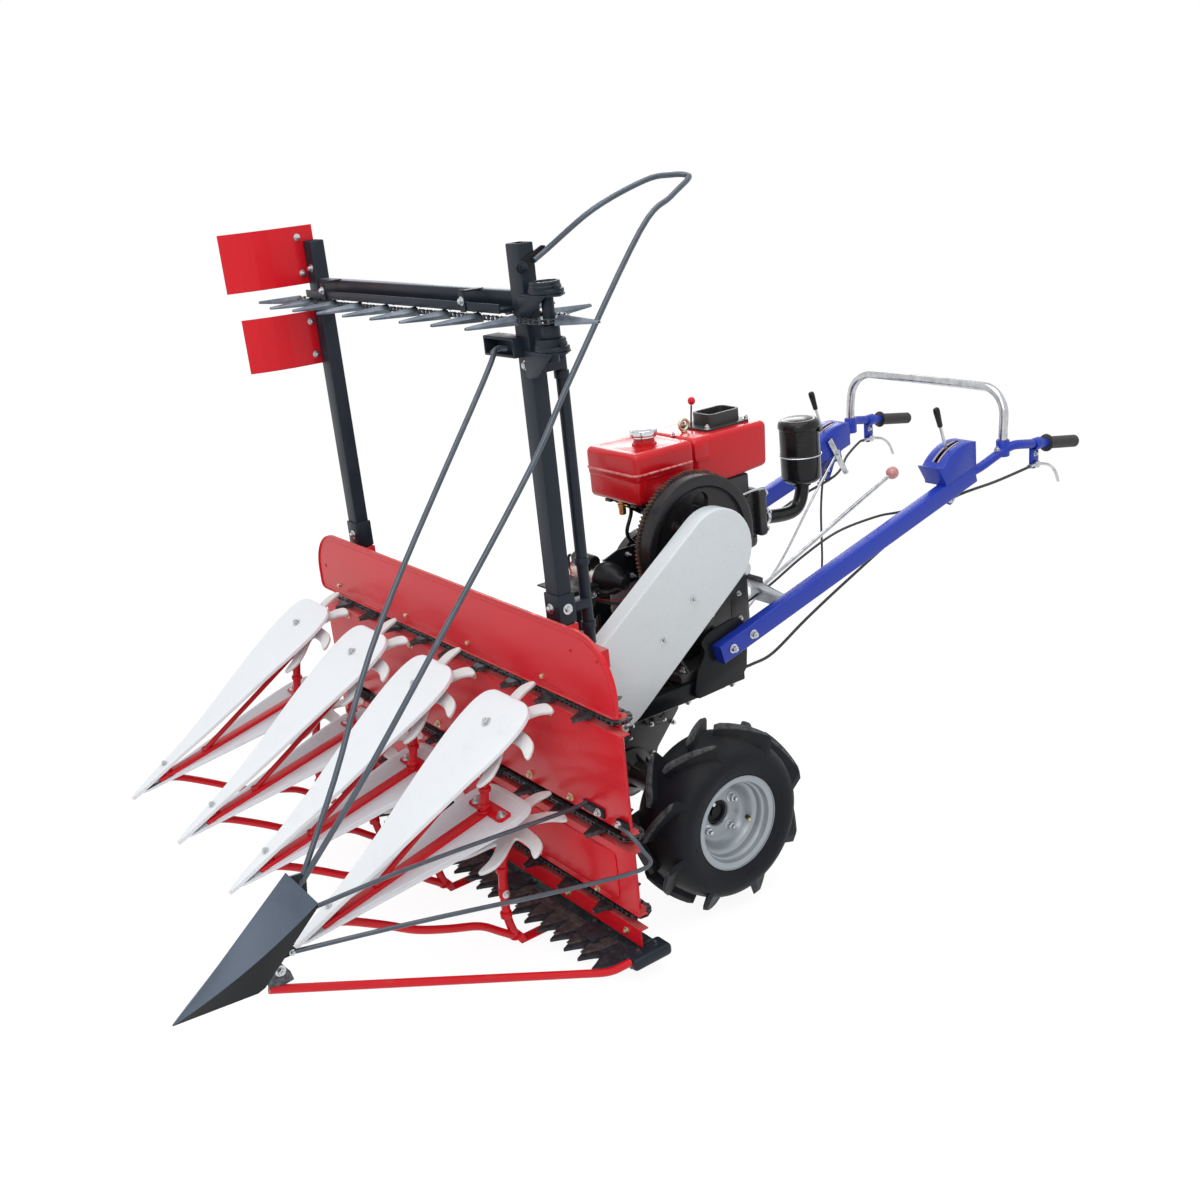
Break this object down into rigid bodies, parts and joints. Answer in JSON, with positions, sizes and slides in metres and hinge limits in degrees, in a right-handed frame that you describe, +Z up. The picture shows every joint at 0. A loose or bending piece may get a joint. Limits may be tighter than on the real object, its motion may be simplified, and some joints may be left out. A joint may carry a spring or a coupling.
{
  "type": "walk-behind reaper",
  "caption": "Walk-behind reaper: a two-wheeled diesel power unit with handles pushes a header with row dividers, star wheels, lug chains, a cutter bar and a raised finger conveyor.",
  "frame": {"origin": "centre of the whole machine's footprint box, on the ground", "axes": "+Z up, -Y to the front where the dividers point, +Y to the rear where the handles are, +X to the machine's left"},
  "size_m": [1.3446, 2.6708, 1.6021],
  "materials": {
    "air_cleaner": "moulded",
    "arch_bar": "polished",
    "belt_guard": "gloss paint",
    "cable_left": "moulded",
    "cable_right": "moulded",
    "chain_lower": "oiled steel",
    "chain_middle": "oiled steel",
    "chain_upper": "oiled steel",
    "clutch_lever_left": "oiled steel",
    "clutch_lever_right": "oiled steel",
    "conveyor_frame": "gloss paint",
    "cutter_bar": "painted casting",
    "deflector": "gloss paint",
    "divider_tube": "gloss paint",
    "engine_block": "painted casting",
    "finger_chain": "oiled steel",
    "flywheel": "painted casting",
    "fuel_cap": "polished",
    "fuel_tank": "gloss paint",
    "gear_lever": "polished",
    "gearbox": "painted casting",
    "grip_left": "moulded",
    "grip_right": "moulded",
    "handlebar_left": "gloss paint",
    "handlebar_right": "gloss paint",
    "header_frame": "gloss paint",
    "knife": "oiled steel",
    "lever_left": "oiled steel",
    "lever_right": "oiled steel",
    "lower_cover_1": "gloss paint",
    "lower_cover_2": "gloss paint",
    "lower_cover_3": "gloss paint",
    "lower_cover_4": "gloss paint",
    "main_frame": "gloss paint",
    "middle_panel": "gloss paint",
    "outer_divider": "gloss paint",
    "rear_cover": "oiled steel",
    "rim_left": "gloss paint",
    "rim_right": "gloss paint",
    "row_frame_1": "gloss paint",
    "row_frame_2": "gloss paint",
    "row_frame_3": "gloss paint",
    "row_frame_4": "gloss paint",
    "star_lower_1": "moulded",
    "star_lower_2": "moulded",
    "star_lower_3": "moulded",
    "star_lower_4": "moulded",
    "star_upper_1": "moulded",
    "star_upper_2": "moulded",
    "star_upper_3": "moulded",
    "star_upper_4": "moulded",
    "starter_motor": "gloss paint",
    "top_panel": "gloss paint",
    "tyre_left": "moulded",
    "tyre_right": "moulded",
    "upper_cover_1": "gloss paint",
    "upper_cover_2": "gloss paint",
    "upper_cover_3": "gloss paint",
    "upper_cover_4": "gloss paint",
    "water_hopper": "gloss paint"
  },
  "bodies": {
    "machine": {"air_cleaner": "air_cleaner", "arch_bar": "arch_bar", "belt_guard": "belt_guard", "cable_left": "cable_left", "cable_right": "cable_right", "chain_lower": "chain_lower", "chain_middle": "chain_middle", "chain_upper": "chain_upper", "conveyor_frame": "conveyor_frame", "cutter_bar": "cutter_bar", "deflector": "deflector", "divider_tube": "divider_tube", "engine_block": "engine_block", "finger_chain": "finger_chain", "fuel_tank": "fuel_tank", "gearbox": "gearbox", "grip_left": "grip_left", "grip_right": "grip_right", "handlebar_left": "handlebar_left", "handlebar_right": "handlebar_right", "header_frame": "header_frame", "lower_cover_1": "lower_cover_1", "lower_cover_2": "lower_cover_2", "lower_cover_3": "lower_cover_3", "lower_cover_4": "lower_cover_4", "main_frame": "main_frame", "middle_panel": "middle_panel", "outer_divider": "outer_divider", "rear_cover": "rear_cover", "row_frame_1": "row_frame_1", "row_frame_2": "row_frame_2", "row_frame_3": "row_frame_3", "row_frame_4": "row_frame_4", "starter_motor": "starter_motor", "top_panel": "top_panel", "upper_cover_1": "upper_cover_1", "upper_cover_2": "upper_cover_2", "upper_cover_3": "upper_cover_3", "upper_cover_4": "upper_cover_4", "water_hopper": "water_hopper"},
    "wheel_left": {"tyre_left": "tyre_left", "rim_left": "rim_left"},
    "wheel_right": {"tyre_right": "tyre_right", "rim_right": "rim_right"},
    "flywheel": {"flywheel": "flywheel"},
    "fuel_cap": {"fuel_cap": "fuel_cap"},
    "lever_left": {"lever_left": "lever_left"},
    "lever_right": {"lever_right": "lever_right"},
    "clutch_lever_left": {"clutch_lever_left": "clutch_lever_left"},
    "clutch_lever_right": {"clutch_lever_right": "clutch_lever_right"},
    "gear_lever": {"gear_lever": "gear_lever"},
    "knife": {"knife": "knife"},
    "star_upper_1": {"star_upper_1": "star_upper_1"},
    "star_lower_1": {"star_lower_1": "star_lower_1"},
    "star_upper_2": {"star_upper_2": "star_upper_2"},
    "star_lower_2": {"star_lower_2": "star_lower_2"},
    "star_upper_3": {"star_upper_3": "star_upper_3"},
    "star_lower_3": {"star_lower_3": "star_lower_3"},
    "star_upper_4": {"star_upper_4": "star_upper_4"},
    "star_lower_4": {"star_lower_4": "star_lower_4"}
  },
  "joints": [
    {"name": "wheel_left_spin", "type": "hinge", "parent": "machine", "child": "wheel_left", "pos_m": [0.47268, -0.04349, 0.2165], "axis": [1, 0, 0], "continuous": true},
    {"name": "wheel_right_spin", "type": "hinge", "parent": "machine", "child": "wheel_right", "pos_m": [-0.32732, -0.04349, 0.2165], "axis": [1, 0, 0], "continuous": true},
    {"name": "flywheel_spin", "type": "hinge", "parent": "machine", "child": "flywheel", "pos_m": [-0.06732, 0.06184, 0.79465], "axis": [1, 0, 0], "continuous": true},
    {"name": "fuel_cap_turn", "type": "hinge", "parent": "machine", "child": "fuel_cap", "pos_m": [0.09768, 0.03079, 1.02286], "axis": [0, -0.1219, 0.9925], "continuous": true},
    {"name": "lever_left_swing", "type": "hinge", "parent": "machine", "child": "lever_left", "pos_m": [0.29818, 0.90943, 0.8826], "axis": [1, 0, 0], "range_deg": [-18, 18]},
    {"name": "clutch_lever_left_squeeze", "type": "hinge", "parent": "machine", "child": "clutch_lever_left", "pos_m": [0.37318, 1.17251, 0.88165], "axis": [1, 0, 0], "range_deg": [0, 20], "stiffness_Nm_per_rad": 0.6, "springref_deg": -22.92},
    {"name": "lever_right_swing", "type": "hinge", "parent": "machine", "child": "lever_right", "pos_m": [-0.15282, 0.90943, 0.8826], "axis": [1, 0, 0], "range_deg": [-18, 18]},
    {"name": "clutch_lever_right_squeeze", "type": "hinge", "parent": "machine", "child": "clutch_lever_right", "pos_m": [-0.22682, 1.17251, 0.88165], "axis": [1, 0, 0], "range_deg": [0, 20], "stiffness_Nm_per_rad": 0.6, "springref_deg": -22.92},
    {"name": "gear_lever_swing", "type": "hinge", "parent": "machine", "child": "gear_lever", "pos_m": [0.05578, 0.34223, 0.52138], "axis": [1, 0, 0], "range_deg": [-5, 5]},
    {"name": "knife_stroke", "type": "slide", "parent": "machine", "child": "knife", "axis": [1, 0, 0], "range_m": [-0.024, 0.024]},
    {"name": "star_upper_1_spin", "type": "hinge", "parent": "machine", "child": "star_upper_1", "pos_m": [-0.52732, -0.57188, 0.49921], "axis": [0, -0.6239, 0.7815], "continuous": true},
    {"name": "star_lower_1_spin", "type": "hinge", "parent": "machine", "child": "star_lower_1", "pos_m": [-0.52732, -0.555, 0.27963], "axis": [0, -0.3518, 0.9361], "continuous": true},
    {"name": "star_upper_2_spin", "type": "hinge", "parent": "machine", "child": "star_upper_2", "pos_m": [-0.21732, -0.57188, 0.49921], "axis": [0, -0.6239, 0.7815], "continuous": true},
    {"name": "star_lower_2_spin", "type": "hinge", "parent": "machine", "child": "star_lower_2", "pos_m": [-0.21732, -0.555, 0.27963], "axis": [0, -0.3518, 0.9361], "continuous": true},
    {"name": "star_upper_3_spin", "type": "hinge", "parent": "machine", "child": "star_upper_3", "pos_m": [0.08268, -0.57188, 0.49921], "axis": [0, -0.6239, 0.7815], "continuous": true},
    {"name": "star_lower_3_spin", "type": "hinge", "parent": "machine", "child": "star_lower_3", "pos_m": [0.08268, -0.555, 0.27963], "axis": [0, -0.3518, 0.9361], "continuous": true},
    {"name": "star_upper_4_spin", "type": "hinge", "parent": "machine", "child": "star_upper_4", "pos_m": [0.38268, -0.57188, 0.49921], "axis": [0, -0.6239, 0.7815], "continuous": true},
    {"name": "star_lower_4_spin", "type": "hinge", "parent": "machine", "child": "star_lower_4", "pos_m": [0.38268, -0.555, 0.27963], "axis": [0, -0.3518, 0.9361], "continuous": true}
  ],
  "couplings": [
    {"joint": "star_lower_1_spin", "follows": "star_upper_1_spin", "ratio": 1},
    {"joint": "star_upper_2_spin", "follows": "star_upper_1_spin", "ratio": 1},
    {"joint": "star_lower_2_spin", "follows": "star_upper_1_spin", "ratio": 1},
    {"joint": "star_upper_3_spin", "follows": "star_upper_1_spin", "ratio": 1},
    {"joint": "star_lower_3_spin", "follows": "star_upper_1_spin", "ratio": 1},
    {"joint": "star_upper_4_spin", "follows": "star_upper_1_spin", "ratio": 1},
    {"joint": "star_lower_4_spin", "follows": "star_upper_1_spin", "ratio": 1}
  ]
}
